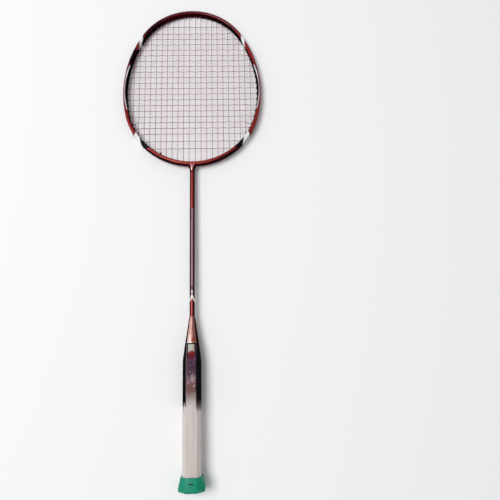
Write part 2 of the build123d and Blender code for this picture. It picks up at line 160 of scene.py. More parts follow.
def finish_mesh(obj, name, smooth=35):
    """Merge doubles, point the faces outwards, shade and name the piece."""
    edit(obj, everything=True)
    bpy.ops.mesh.remove_doubles(threshold=DOUBLES)
    bpy.ops.mesh.normals_make_consistent(inside=False)
    end_edit()
    bpy.ops.object.transform_apply(location=True, rotation=True, scale=True)
    bpy.ops.object.shade_smooth_by_angle(angle=math.radians(smooth))
    obj.name = name
    obj.data.name = name


def mirror_half(obj):
    """Add the left half of a piece that is drawn on the right."""
    work_on(obj)
    modifier = obj.modifiers.new("mirror", "MIRROR")
    modifier.use_axis = (True, False, False)
    modifier.merge_threshold = NEAR
    bpy.ops.object.modifier_apply(modifier=modifier.name)


def join(pieces):
    """Join pieces into the first of them."""
    deselect()
    for piece in pieces:
        piece.select_set(True)
    bpy.context.view_layer.objects.active = pieces[0]
    bpy.ops.object.join()
    return pieces[0]


def draw_profile(points, closed):
    """Draw a line by extruding one vertex from point to point."""
    deselect()
    bpy.ops.mesh.primitive_plane_add(size=MM, location=points[0])
    obj = bpy.context.object
    bpy.ops.object.transform_apply(location=True)
    bpy.ops.object.mode_set(mode="EDIT")
    bpy.ops.mesh.select_all(action="SELECT")
    bpy.ops.mesh.merge(type="CENTER")
    for before, after in zip(points, points[1:]):
        extrude(Vector(after) - Vector(before))
    if closed:
        bpy.ops.mesh.select_all(action="SELECT")
        bpy.ops.mesh.edge_face_add()
        bpy.ops.mesh.delete(type="ONLY_FACE")
    end_edit()
    return obj


def lathe(points, steps):
    """Turn a line of (radius, y) points round the racket's axis."""
    obj = draw_profile([(radius, y, 0) for radius, y in points], closed=False)
    edit(obj, everything=True)
    bpy.ops.mesh.spin(steps=steps, angle=2 * math.pi, center=(0, 0, 0), axis=(0, 1, 0))
    end_edit()
    return obj


# ---- head outline ----
def end_arc_radius(reach):
    """Radius of the arc on the axis that meets the side arc."""
    return (side_radius**2 - side_offset**2 - reach**2) / (2 * (side_radius - reach))


crown_radius = end_arc_radius(tip_y - widest_y)
base_radius = end_arc_radius(widest_y - throat_y)
crown_y = tip_y - crown_radius
base_y = throat_y + base_radius
crown_turn = math.atan2(side_offset, crown_y - widest_y)
base_turn = math.pi - math.atan2(side_offset, widest_y - base_y)
throat_turn = throat_gap / 2 / base_radius

# Right half: start and end of each arc, clockwise from +Y, its centre and radius.
arcs = [
    (0.0, crown_turn, Vector((0, crown_y, 0)), crown_radius),
    (crown_turn, base_turn, Vector((-side_offset, widest_y, 0)), side_radius),
    (base_turn, math.pi, Vector((0, base_y, 0)), base_radius),
]


def rim_place(point):
    """Turn and inset of a point on the rim."""
    x = abs(point.x)
    slack = 1e-4
    best = None
    for start, end, centre, radius in arcs:
        turn = math.atan2(x - centre.x, point.y - centre.y)
        if start - slack <= turn <= end + slack:
            inset = radius - math.hypot(x - centre.x, point.y - centre.y)
            if best is None or abs(inset) < abs(best[1]):
                best = (turn, inset)
    return best


# ---- shader helpers ----
class Shader:
    """Short calls for building one node tree."""

    def __init__(self, tree):
        self.tree = tree

    def node(self, kind, inputs=None, **settings):
        made = self.tree.nodes.new(kind)
        count = len(self.tree.nodes)
        made.location = (count * 40, -(count % 12) * 60)
        for key, value in settings.items():
            setattr(made, key, value)
        for key, value in (inputs or {}).items():
            self.feed(made.inputs[key], value)
        return made

    def feed(self, socket, value):
        """Link a socket, or set its value."""
        if isinstance(value, bpy.types.NodeSocket):
            self.tree.links.new(value, socket)
        else:
            socket.default_value = value

    def math(self, operation, a, b=0.0):
        return self.node("ShaderNodeMath", {0: a, 1: b}, operation=operation).outputs[0]

    def plus(self, a, b):
        return self.math("ADD", a, b)

    def minus(self, a, b):
        return self.math("SUBTRACT", a, b)

    def times(self, first, *others):
        for other in others:
            first = self.math("MULTIPLY", first, other)
        return first

    def largest(self, first, *others):
        for other in others:
            first = self.math("MAXIMUM", first, other)
        return first

    def smallest(self, a, b):
        return self.math("MINIMUM", a, b)

    def magnitude(self, a):
        return self.math("ABSOLUTE", a)

    def above(self, a, limit):
        return self.math("GREATER_THAN", a, limit)

    def below(self, a, limit):
        return self.math("LESS_THAN", a, limit)

    def mix(self, factor, a, b, blend="MIX"):
        """Mix two colours."""
        made = self.node("ShaderNodeMix", data_type="RGBA", blend_type=blend)
        self.feed(made.inputs[0], factor)
        self.feed(made.inputs[6], a)
        self.feed(made.inputs[7], b)
        return made.outputs[2]

    def blend(self, factor, a, b):
        """Mix two numbers."""
        made = self.node("ShaderNodeMix", data_type="FLOAT")
        self.feed(made.inputs[0], factor)
        self.feed(made.inputs[2], a)
        self.feed(made.inputs[3], b)
        return made.outputs[0]

    def step(self, value, low, high, to_low=0.0, to_high=1.0):
        """Smooth change of a value from low to high."""
        inputs = {0: value, 1: low, 2: high, 3: to_low, 4: to_high}
        return self.node("ShaderNodeMapRange", inputs, interpolation_type="SMOOTHSTEP").outputs[0]

    def falling(self, value, low, high):
        """One below low, nothing above high."""
        return self.step(value, low, high, 1.0, 0.0)

    def over_zero(self, value, soft):
        """Nothing below zero and one above, with a soft edge."""
        return self.step(value, -soft, soft)

    def window(self, value, low, high, soft):
        """One between low and high, with soft edges."""
        rise = self.step(value, low - soft, low + soft)
        return self.times(rise, self.falling(value, high - soft, high + soft))

    def noise(self, vector, scale, detail=3.0, rough=0.5, output=0):
        inputs = {"Vector": vector, "Scale": scale, "Detail": detail, "Roughness": rough}
        return self.node("ShaderNodeTexNoise", inputs).outputs[output]

    def stretch(self, vector, scale):
        return self.node("ShaderNodeMapping", {"Vector": vector, "Scale": scale}).outputs[0]

    def vector_math(self, operation, a, b, output=0):
        return self.node("ShaderNodeVectorMath", {0: a, 1: b}, operation=operation).outputs[output]

    def axes(self, vector):
        """The three numbers of a vector."""
        parts = self.node("ShaderNodeSeparateXYZ", {0: vector}).outputs
        return parts[0], parts[1], parts[2]

    def ramp(self, value, stops):
        """Colours along a value; each stop is a value and a colour."""
        start, end = stops[0][0], stops[-1][0]
        share = self.node("ShaderNodeMapRange", {0: value, 1: start, 2: end}).outputs[0]
        made = self.node("ShaderNodeValToRGB", {0: share})
        elements = made.color_ramp.elements
        elements[1].position = 1.0
        elements[0].color = stops[0][1]
        elements[1].color = stops[-1][1]
        for where, tint in stops[1:-1]:
            elements.new((where - start) / (end - start)).color = tint
        return made.outputs[0]

    def bump(self, height, distance, strength):
        """A bump normal from a height between zero and one, deep by this distance."""
        inputs = {"Height": height, "Distance": distance, "Strength": strength}
        return self.node("ShaderNodeBump", inputs).outputs[0]

    def group(self, tree, **inputs):
        made = self.node("ShaderNodeGroup", node_tree=tree)
        for key, value in inputs.items():
            self.feed(made.inputs[key], value)
        return made.outputs


def colour(r, g, b):
    return (r, g, b, 1.0)


def grey(level):
    return colour(level, level, level)


FLOAT = "NodeSocketFloat"
VECTOR = "NodeSocketVector"


def new_group(name, inputs, outputs):
    """A shader node group with named sockets."""
    tree = bpy.data.node_groups.new(name, "ShaderNodeTree")
    for socket, kind, value in inputs:
        made = tree.interface.new_socket(socket, in_out="INPUT", socket_type=kind)
        if value is not None:
            made.default_value = value
    for socket, kind in outputs:
        tree.interface.new_socket(socket, in_out="OUTPUT", socket_type=kind)
    s = Shader(tree)
    entry = s.node("NodeGroupInput")
    leave = s.node("NodeGroupOutput")
    return tree, s, entry.outputs, leave.inputs


def make_scratches():
    """Fine hairlines and faint dust: a mask of each."""
    tree, s, given, out = new_group(
        "scratches",
        [("Vector", VECTOR, None), ("Scale", FLOAT, 400.0), ("Amount", FLOAT, 0.5)],
        [("Lines", FLOAT), ("Dust", FLOAT)],
    )
    bend = 4 * MM
    hairline = (0.68, 0.72)
    speck = (0.66, 0.74)
    warp = s.noise(given["Vector"], 60.0, 2.0, 0.5, output=1)
    shift = s.vector_math("MULTIPLY", warp, (bend, bend, bend))
    bent = s.vector_math("ADD", given["Vector"], shift)
    lines = None
    for turn in (0.6, 1.9):
        rotation = (turn, 0.3 * turn, turn)
        turned = s.node("ShaderNodeMapping", {"Vector": bent, "Rotation": rotation}).outputs[0]
        grain = s.noise(s.stretch(turned, (1.0, 0.04, 1.0)), given["Scale"], 1.0, 0.4)
        line = s.step(grain, *hairline)
        lines = line if lines is None else s.largest(lines, line)
    s.feed(out["Lines"], s.times(lines, given["Amount"]))
    specks = s.noise(given["Vector"], 1800.0, 2.0, 0.6)
    s.feed(out["Dust"], s.times(s.step(specks, *speck), given["Amount"]))
    return tree


def make_mottle():
    """Soft uneven tone over a surface, centred on one."""
    tree, s, given, out = new_group(
        "mottle",
        [("Vector", VECTOR, None), ("Scale", FLOAT, 50.0), ("Strength", FLOAT, 0.1)],
        [("Tone", FLOAT)],
    )
    broad = s.noise(given["Vector"], given["Scale"], 4.0, 0.55)
    shift = s.times(s.minus(broad, 0.5), given["Strength"])
    s.feed(out["Tone"], s.plus(1.0, shift))
    return tree


scratches = make_scratches()
mottle = make_mottle()


def empty_tree(owner):
    """The Shader helper of a material's or world's emptied node tree."""
    owner.use_nodes = True
    owner.node_tree.nodes.clear()
    return Shader(owner.node_tree)


def new_material(name):
    """A material with its Shader helper, its Principled shader and the place on the piece."""
    material = bpy.data.materials.new(name)
    s = empty_tree(material)
    out = s.node("ShaderNodeOutputMaterial")
    principled = s.node("ShaderNodeBsdfPrincipled")
    s.tree.links.new(principled.outputs[0], out.inputs[0])
    place = s.node("ShaderNodeTexCoord").outputs["Object"]
    return material, s, principled, place


def shaded(s, base, tone):
    """A colour times an uneven tone."""
    shade = s.node("ShaderNodeCombineColor", {0: tone, 1: tone, 2: tone}).outputs[0]
    return s.mix(1.0, base, shade, "MULTIPLY")


def flake(s, place, base, light):
    """Metallic paint: tiny bright flakes in a darker colour."""
    cells = s.node("ShaderNodeTexVoronoi", {"Vector": place, "Scale": 4500.0}).outputs["Color"]
    spark = s.step(s.axes(cells)[0], 0.55, 1.0)
    return s.mix(s.times(spark, 0.5), base, light)


def finish_paint(s, p, place, base, metallic, coat, coat_rough, rough, wear):
    """What the paints share: a weak dark edge gloss, and fine wear in roughness and bump."""
    s.feed(p.inputs["Base Color"], base)
    s.feed(p.inputs["Metallic"], metallic)
    s.feed(p.inputs["Coat Weight"], coat)
    p.inputs["Specular IOR Level"].default_value = 0.15
    p.inputs["Specular Tint"].default_value = EDGE_TINT
    p.inputs["Coat Roughness"].default_value = coat_rough
    marks = s.group(scratches, Vector=place, Scale=500.0, Amount=wear)
    worn = s.plus(s.times(marks["Lines"], 0.18), s.times(marks["Dust"], 0.25))
    s.feed(p.inputs["Roughness"], s.plus(rough, worn))
    peel = s.noise(place, 900.0, 2.0, 0.5)
    s.feed(p.inputs["Normal"], s.bump(s.minus(peel, marks["Lines"]), 0.02 * MM, 0.35))


def dress(obj, material):
    """Give an object this one material."""
    obj.data.materials.clear()
    obj.data.materials.append(material)


# ---- colours ----
EDGE_TINT = colour(0.10, 0.07, 0.07)
BLACK = colour(0.006, 0.005, 0.007)
WHITE = colour(0.82, 0.81, 0.82)

RED = colour(0.175, 0.006, 0.007)
RED_BRIGHT = colour(0.38, 0.036, 0.030)
CROWN_RED = colour(0.080, 0.003, 0.008)
CROWN_BRIGHT = colour(0.175, 0.016, 0.025)
THROAT_HIGHLIGHT_RED = colour(0.34, 0.050, 0.038)
MAROON_SHADE = colour(0.030, 0.0015, 0.002)
DEEP_MAROON_SHADE = colour(0.013, 0.001, 0.0015)
SMOKE_AND_SHADE = colour(0.010, 0.002, 0.004)
LAVENDER = colour(0.42, 0.33, 0.41)
ROSE_WHITE = colour(0.70, 0.56, 0.62)
PALE_ROSE = colour(0.62, 0.40, 0.42)

SHAFT_RED = colour(0.18, 0.022, 0.019)
SHAFT_BRIGHT = colour(0.35, 0.065, 0.055)
SHAFT_DULL = colour(0.13, 0.036, 0.036)
PLUM = colour(0.075, 0.030, 0.045)
PLUM_LIGHT = colour(0.17, 0.095, 0.125)
MAUVE_SHEEN = colour(0.185, 0.080, 0.098)
MAUVE_SHEEN_BRIGHT = colour(0.39, 0.23, 0.265)
RED_FLANK_SHADE = colour(0.040, 0.003, 0.003)
PLUM_FLANK_SHADE = colour(0.012, 0.002, 0.004)
DUSK = colour(0.030, 0.016, 0.018)

COPPER = colour(0.34, 0.10, 0.085)
COPPER_LIGHT = colour(0.56, 0.27, 0.235)
COPPER_SHEEN = colour(0.85, 0.66, 0.60)
COPPER_SHADE = colour(0.13, 0.020, 0.018)
EMBER = colour(0.30, 0.035, 0.015)
CREAM_HIGHLIGHT = colour(0.80, 0.62, 0.55)
RIM_CREAM = colour(0.80, 0.68, 0.62)
RIM_BROWN_SHADE = colour(0.22, 0.11, 0.08)

WOOD = colour(0.585, 0.520, 0.490)
WOOD_LIGHT = colour(0.655, 0.605, 0.580)
WOOD_PORE = colour(0.44, 0.36, 0.32)
WOOD_SOIL = colour(0.50, 0.41, 0.37)
STAIN_GREY = colour(0.120, 0.095, 0.115)
STAIN_VIOLET = colour(0.028, 0.016, 0.034)
STAIN_BLACK = colour(0.010, 0.005, 0.008)
STAIN_ROSE = colour(0.17, 0.09, 0.085)
STAIN_BROWN = colour(0.13, 0.10, 0.09)

GREEN_DEEP = colour(0.001, 0.195, 0.112)
GREEN = colour(0.004, 0.290, 0.175)
GREEN_SCUFF = colour(0.20, 0.48, 0.38)
GREEN_DENT_SHADE = colour(0.001, 0.030, 0.020)

FILM_RUB = colour(0.46, 0.36, 0.40)
FILM_SPOT = colour(0.018, 0.005, 0.016)
FILM_BLOT = colour(0.020, 0.007, 0.018)
FILM_EDGE = colour(0.026, 0.012, 0.030)
FILM_INK = colour(0.008, 0.005, 0.008)
FILM_SCUFF = colour(0.48, 0.41, 0.45)
FILM_WORN = colour(0.20, 0.17, 0.20)
ARCH_DEEP = colour(0.095, 0.003, 0.008)
ARCH_RED = colour(0.205, 0.018, 0.016)
BLOCK_PALE = colour(0.50, 0.52, 0.44)
BLOCK_BROWN = colour(0.34, 0.27, 0.23)

STRING_DEEP = colour(0.150, 0.001, 0.042)
STRING_LIGHT = colour(0.260, 0.003, 0.075)
GROMMET_BLACK = colour(0.008, 0.007, 0.008)
STAPLE_DARK = colour(0.012, 0.016, 0.015)
DUST = colour(0.3, 0.28, 0.27)
FLOOR_WHITE = colour(0.945, 0.945, 0.95)
FULL_WHITE = colour(1.0, 1.0, 1.0)

# How far the red goes over the section from its outer edge, by the turn from the tip in
# degrees. One is RED_WAY millimetres.
RED_WAY = 20.0
RED_REACH = (
    (0, 0.28), (45, 0.27), (57, 0.24), (62, 0.34), (70, 0.31), (74.5, 0.23), (77, 0.10),
    (80, 0.07), (96, 0.07), (99, 0.12), (100.5, 0.22), (102, 0.31), (128, 0.31), (150, 1.0),
    (180, 1.0),
)

# The pale side stripe's colour by the turn.
STRIPE_TINTS = (
    (70, WHITE), (81, WHITE), (84, LAVENDER), (91, LAVENDER), (95, ROSE_WHITE),
    (110, ROSE_WHITE),
)

# The film's printed fade by the place along the handle.
FILM_FADE = (
    (118 * MM, colour(0.21, 0.135, 0.125)),
    (124 * MM, colour(0.165, 0.075, 0.072)),
    (131 * MM, colour(0.205, 0.085, 0.092)),
    (136 * MM, colour(0.20, 0.115, 0.135)),
    (142 * MM, colour(0.085, 0.045, 0.066)),
    (150 * MM, colour(0.075, 0.032, 0.056)),
    (158 * MM, colour(0.085, 0.038, 0.075)),
    (163 * MM, colour(0.110, 0.025, 0.062)),
    (182 * MM, colour(0.100, 0.040, 0.060)),
)


# ---- materials ----
def make_rim_paint():
    """Red metallic paint with white flashes, thin pale side stripes and black inner sides, with
    painted shade inside the crown, along the outer edge round the throat end and inside the left's
    lower red, and a painted highlight towards the throat.
    """
    material, s, p, place = new_material("rim_paint")
    # Turns are in degrees from the tip, insets and heights in millimetres.
    spot = s.node("ShaderNodeAttribute", attribute_name="rim_place").outputs["Vector"]
    turn, inset, height = s.axes(spot)
    side = s.axes(place)[0]
    middle_inset = rim_width / 2 / MM
    half_depth = rim_depth / 2 / MM
    crown_end = (46.0, 58.0)
    maroon_shade_to_black = (22.0, 48.0)
    throat_highlight = (150.0, 172.0)
    edge_start = (118.0, 122.0)
    edge_thin, edge_wide, edge_end = 1.05, 1.9, 0.9
    stripe_turns = (75.8, 100.2, 0.5)
    stripe_across = (1.5, 3.1, 0.12)
    stripe_middle, stripe_half, stripe_bow = 88.0, 12.0, 2.2
    upper_flash, upper_slant = (57.2, 60.6, 0.2), 0.48
    lower_flash_start, lower_slant = 122.7, 0.3
    lower_flash_end, lower_end_slant = 133.0, 1.15
    wedge_stop, wedge_slant = 138.6, 0.3

    crown = s.falling(turn, *crown_end)
    crown_red = flake(s, place, CROWN_RED, CROWN_BRIGHT)
    red = s.mix(crown, flake(s, place, RED, RED_BRIGHT), crown_red)
    # Painted highlight: the red turns brighter and more orange towards the throat.
    red = s.mix(s.step(turn, *throat_highlight, 0.0, 0.45), red, THROAT_HIGHLIGHT_RED)
    # Way round the section: across the top from the outer edge, then down the inside.
    inner = s.minus(s.times(s.above(inset, middle_inset), 2.0), 1.0)
    drop = s.minus(half_depth, s.magnitude(height))
    around = s.plus(inset, s.times(drop, inner))
    reach = s.ramp(turn, [(at, grey(share)) for at, share in RED_REACH])
    reach = s.times(s.node("ShaderNodeRGBToBW", {0: reach}).outputs[0], RED_WAY)
    black = s.over_zero(s.minus(around, reach), 0.15)
    # Black paint on the inner side; inside the crown it is painted maroon shade, which turns black
    # towards the sides.
    base = s.mix(black, red, s.mix(s.step(turn, *maroon_shade_to_black), MAROON_SHADE, BLACK))
    # Painted shade along the outer edge round the throat end, widest where it starts.
    widening = s.step(turn, 136.0, 143.0, edge_thin, edge_wide)
    narrowing = s.step(turn, 146.0, 168.0, edge_wide, edge_end)
    edge = s.smallest(widening, narrowing)
    outer = s.times(s.falling(s.minus(inset, edge), -0.4, 0.4), s.step(turn, *edge_start))
    base = s.mix(outer, base, DEEP_MAROON_SHADE)
    # The left half is smoked darker beside its upper flash, and has painted shade inside its lower
    # red.
    before_flash = s.times(s.window(turn, 33.0, 63.5, 4.0), 0.6)
    after_flash = s.window(turn, 66.0, 74.8, 0.9)
    inside = s.times(s.window(turn, 100.5, 121.0, 1.5), s.step(around, 3.0, 4.4, 0.0, 0.7))
    smoke_and_shade = s.times(s.largest(before_flash, after_flash, inside), s.below(side, 0.0))
    base = s.mix(smoke_and_shade, base, SMOKE_AND_SHADE)
    # The side stripe bows towards the inside at both ends.
    off_middle = s.math("DIVIDE", s.minus(turn, stripe_middle), stripe_half)
    bowed = s.minus(around, s.times(off_middle, off_middle, stripe_bow))
    stripe = s.times(s.window(turn, *stripe_turns), s.window(bowed, *stripe_across))
    base = s.mix(stripe, base, s.ramp(turn, STRIPE_TINTS))
    # Slanted white flashes, and a black wedge after the lower one.
    flash_up = s.window(s.minus(turn, s.times(around, upper_slant)), *upper_flash)
    leading = s.minus(turn, s.minus(lower_flash_start, s.times(around, lower_slant)))
    trailing = s.minus(s.minus(lower_flash_end, s.times(inset, lower_end_slant)), turn)
    flash_down = s.times(s.over_zero(leading, 0.3), s.over_zero(trailing, 0.3))
    wedge_end = s.minus(s.plus(wedge_stop, s.times(inset, wedge_slant)), turn)
    wedge = s.times(s.falling(trailing, -0.3, 0.3), s.over_zero(wedge_end, 0.4))
    base = s.mix(wedge, base, BLACK)
    flash = s.largest(flash_up, flash_down)
    base = s.mix(flash, base, WHITE)
    tone = s.group(mottle, Vector=place, Scale=40.0, Strength=0.35)["Tone"]
    pale = s.largest(flash, stripe)
    dark = s.largest(black, wedge, s.times(outer, 0.9), smoke_and_shade)
    dark = s.times(dark, s.minus(1.0, pale))
    metallic = s.blend(dark, s.blend(pale, 0.5, 0.0), 0.95)
    coat = s.blend(dark, 0.30, 0.0)
    base = shaded(s, base, tone)
    finish_paint(s, p, place, base, metallic, coat, coat_rough=0.08, rough=0.28, wear=0.4)
    return material


def make_throat_paint():
    """The rim's red, with painted maroon shade in the fillets and at the low back edge, a small
    pale wedge on the front and a painted highlight under it.
    """
    material, s, p, place = new_material("throat_paint")
    x, y, z = s.axes(place)
    side = s.magnitude(x)
    front = s.above(z, 1.0 * MM)
    # Painted maroon shade in the fillets beside the neck, and along the low back edge.
    beyond = s.falling(y, throat_y + 0.2 * MM, throat_y + 1.2 * MM)
    fillet = s.times(beyond, s.step(side, 2.4 * MM, 3.1 * MM))
    base = s.mix(fillet, flake(s, place, RED, RED_BRIGHT), MAROON_SHADE)
    back_edge = s.falling(y, throat_y, throat_y + 1.4 * MM)
    low = s.times(s.falling(z, 3.0 * MM, 4.4 * MM), back_edge)
    base = s.mix(low, base, MAROON_SHADE)
    reach = s.step(y, throat_y - 5.0 * MM, throat_y + 3.0 * MM, 0.5 * MM, 3.0 * MM)
    wedge = s.window(y, throat_y - 4.0 * MM, throat_y + 4.2 * MM, 0.2 * MM)
    wedge = s.times(s.below(side, reach), wedge, front)
    heart = s.below(s.plus(side, 0.9 * MM), reach)
    base = s.mix(wedge, base, s.mix(heart, PALE_ROSE, RED_BRIGHT))
    # A painted highlight runs on below the wedge, just left of the middle.
    tail_highlight = s.window(y, throat_y - 7.2 * MM, throat_y - 3.5 * MM, 0.6 * MM)
    tail_highlight = s.times(s.window(x, -1.4 * MM, 0.0, 0.3 * MM), tail_highlight, front)
    base = s.mix(s.times(tail_highlight, 0.8), base, PALE_ROSE)
    metallic = s.times(s.minus(1.0, wedge), 0.5)
    coat = s.blend(s.largest(low, fillet), 0.35, 0.05)
    finish_paint(s, p, place, base, metallic, coat, coat_rough=0.08, rough=0.28, wear=0.4)
    return material


def make_shaft_paint():
    """Red at both ends, a dark middle with a painted sheen right of its middle, painted shade on
    the sides, and a thin pale chevron between.
    """
    material, s, p, place = new_material("shaft_paint")
    dark_middle = (243.5 * MM, 367.5 * MM, 0.6 * MM)
    chevron_band = (241.6 * MM, 243.4 * MM, 0.2 * MM)
    chevron_slope = 1.7
    lens_y, lens_slope, lens_half = 249.7 * MM, 0.58, 1.3 * MM
    peak_y, peak_slope = 247.2 * MM, 0.40
    x, y, _ = s.axes(place)
    side = s.magnitude(x)
    red = flake(s, place, SHAFT_RED, SHAFT_BRIGHT)
    red = s.mix(s.step(y, 239.5 * MM, 241.5 * MM, 0.45, 0.0), red, SHAFT_DULL)
    streak = s.noise(s.stretch(place, (1, 0.05, 1)), 700.0, 3.0)
    dark = s.mix(streak, PLUM, PLUM_LIGHT)
    # Painted sheen: the dark middle is lighter mauve right of its middle.
    dark = s.mix(s.step(x, -0.3 * MM, 0.5 * MM), dark, s.mix(streak, MAUVE_SHEEN, MAUVE_SHEEN_BRIGHT))
    slant = s.plus(y, s.times(side, chevron_slope))
    middle = s.window(slant, *dark_middle)
    base = s.mix(middle, red, dark)
    # Painted shade darkens both sides, wider on the right below the chevron, and near black on
    # both just below it.
    right_edge = s.step(y, 239.0 * MM, 244.0 * MM, 1.1 * MM, 1.3 * MM)
    right = s.over_zero(s.minus(x, right_edge), 0.4 * MM)
    flank_shade = s.largest(right, s.falling(x, -2.2 * MM, -1.3 * MM))
    base = s.mix(flank_shade, base, s.mix(middle, RED_FLANK_SHADE, PLUM_FLANK_SHADE))
    low = s.times(s.above(side, 2.4 * MM), s.window(y, 231.0 * MM, 244.0 * MM, 0.6 * MM))
    base = s.mix(low, base, BLACK)
    gap = s.window(y, 252.4 * MM, 257.2 * MM, 1.0 * MM)
    base = s.mix(s.times(gap, 0.75), base, DUSK)
    # The chevron has a peak, and a small pale lens stands just past it.
    chevron = s.window(slant, *chevron_band)
    away = s.times(s.magnitude(s.minus(y, lens_y)), lens_slope)
    lens = s.below(s.plus(side, away), lens_half)
    peak_room = s.times(s.minus(peak_y, y), peak_slope)
    peak = s.times(s.step(slant, 242.4 * MM, 243.0 * MM), s.below(side, peak_room))
    pale = s.largest(chevron, lens, peak)
    base = s.mix(pale, base, WHITE)
    side_shade = s.largest(flank_shade, low)
    metallic = s.blend(side_shade, s.blend(pale, 0.65, 0.0), 0.95)
    coat = s.blend(side_shade, 0.12, 0.0)
    finish_paint(s, p, place, base, metallic, coat, coat_rough=0.12, rough=0.32, wear=0.5)
    return material


def make_cone_finish():
    """Copper-rose front and back between black sides, with a cream rim at the base; a painted
    sheen and highlight on the left, painted shade on the right.
    """
    material, s, p, place = new_material("cone_finish")
    black_start = 0.76  # radians from the middle of the front or back
    x, y, z = s.axes(place)
    signed = s.math("ARCTAN2", x, z)
    side = s.magnitude(signed)
    facing = s.smallest(side, s.minus(math.pi, side))
    flow = s.noise(s.stretch(place, (1, 0.25, 1)), 260.0, 3.0)
    copper = s.mix(s.step(flow, 0.35, 0.65), COPPER, COPPER_LIGHT)
    # Painted sheen over all the copper, and painted shade across to the right.
    across = s.step(signed, -0.50, 0.45)
    base = s.mix(s.times(across, 0.85), s.mix(0.35, copper, COPPER_SHEEN), COPPER_SHADE)
    foot = taper_end + 1.7 * MM
    ember = s.window(y, foot, taper_end + 7.5 * MM, 1.2 * MM)
    ember = s.times(ember, s.window(signed, -0.05, 0.62, 0.12), 0.7)
    base = s.mix(ember, base, EMBER)
    # A painted cream highlight low on the left of the front.
    cream = s.window(y, foot, taper_end + 10.5 * MM, 2.0 * MM)
    cream = s.times(cream, s.window(signed, -0.72, -0.15, 0.12), 0.6)
    base = s.mix(cream, base, CREAM_HIGHLIGHT)
    wave = s.times(s.minus(s.noise(place, 160.0, 2.0), 0.5), 0.2)
    black = s.over_zero(s.minus(facing, s.plus(black_start, wave)), 0.035)
    base = s.mix(black, base, BLACK)
    # The cream rim at the base, with painted brown shade on its right.
    rim = s.window(y, taper_end + 0.4 * MM, taper_end + 1.9 * MM, 0.2 * MM)
    rim = s.times(rim, s.minus(1.0, s.times(black, 0.9)))
    base = s.mix(rim, base, s.mix(across, RIM_CREAM, RIM_BROWN_SHADE))
    metallic = s.blend(black, 0.3, 0.95)
    coat = s.blend(black, 0.15, 0.0)
    finish_paint(s, p, place, base, metallic, coat, coat_rough=0.15, rough=0.34, wear=0.6)
    return material


def make_wood():
    """Bare pale wood, with black paint that frays and fades out below the cone."""
    material, s, p, place = new_material("bare_wood")
    x, y, z = s.axes(place)
    # Grain: long rings and finer pores, both stretched along the handle.
    warp = s.times(s.noise(s.stretch(place, (1, 0.15, 1)), 60.0, 2.0), 4 * MM)
    bent_parts = {0: s.plus(x, warp), 1: s.times(y, 0.035), 2: z}
    bent = s.node("ShaderNodeCombineXYZ", bent_parts).outputs[0]
    rings = s.noise(bent, 420.0, 4.0, 0.6)
    pores = s.noise(s.stretch(place, (1, 0.03, 1)), 2600.0, 2.0, 0.7)
    pores = s.step(pores, 0.60, 0.72)
    base = s.mix(s.step(rings, 0.30, 0.72), WOOD, WOOD_LIGHT)
    base = s.mix(s.times(pores, 0.22), base, WOOD_PORE)
    soil = s.step(s.noise(place, 45.0, 3.0), 0.52, 0.75)
    base = s.mix(s.times(soil, 0.15), base, WOOD_SOIL)
    # The front facet is only stained; the right chamfer's paint reaches over its edge.
    front = s.times(s.window(x, -6.75 * MM, 6.0 * MM, 0.35 * MM), s.above(z, 0.0))
    on_right = s.above(x, 0.0)
    cloud = s.times(s.minus(s.noise(place, 150.0, 3.0), 0.5), 12 * MM)
    stain = s.step(s.plus(y, cloud), 98 * MM, 124 * MM)
    margin = s.mix(s.step(y, 150 * MM, 160 * MM), STAIN_GREY, STAIN_VIOLET)
    margin = s.mix(on_right, margin, STAIN_BLACK)
    margin = s.mix(s.step(y, 119 * MM, 128 * MM), STAIN_ROSE, margin)
    base = s.mix(s.times(stain, front), base, margin)
    # The paint ends in a sharp fray on the left and fades through brown on the right.
    fray = s.noise(s.stretch(place, (1, 0.08, 1)), 1100.0, 3.0, 0.7)
    fray = s.minus(fray, 0.5)
    sharp = s.step(s.plus(y, s.times(fray, 45 * MM)), 98 * MM, 104 * MM)
    faded = s.step(s.plus(y, s.times(fray, 10 * MM)), 90 * MM, 114 * MM)
    paint = s.times(s.blend(on_right, sharp, faded), s.minus(1.0, front))
    brown = s.mix(s.step(paint, 0.0, 0.55), base, STAIN_BROWN)
    base = s.mix(s.step(paint, 0.45, 1.0), s.mix(on_right, base, brown), BLACK)
    s.feed(p.inputs["Base Color"], base)
    s.feed(p.inputs["Roughness"], s.blend(paint, 0.62, 0.34))
    s.feed(p.inputs["Metallic"], s.times(s.step(paint, 0.6, 1.0), 0.85))
    p.inputs["Specular IOR Level"].default_value = 0.2
    p.inputs["Specular Tint"].default_value = EDGE_TINT
    height = s.minus(s.times(rings, 0.4), s.times(pores, 0.7))
    height = s.times(height, s.minus(1.0, paint))
    s.feed(p.inputs["Normal"], s.bump(height, 0.1 * MM, 0.5))
    return material


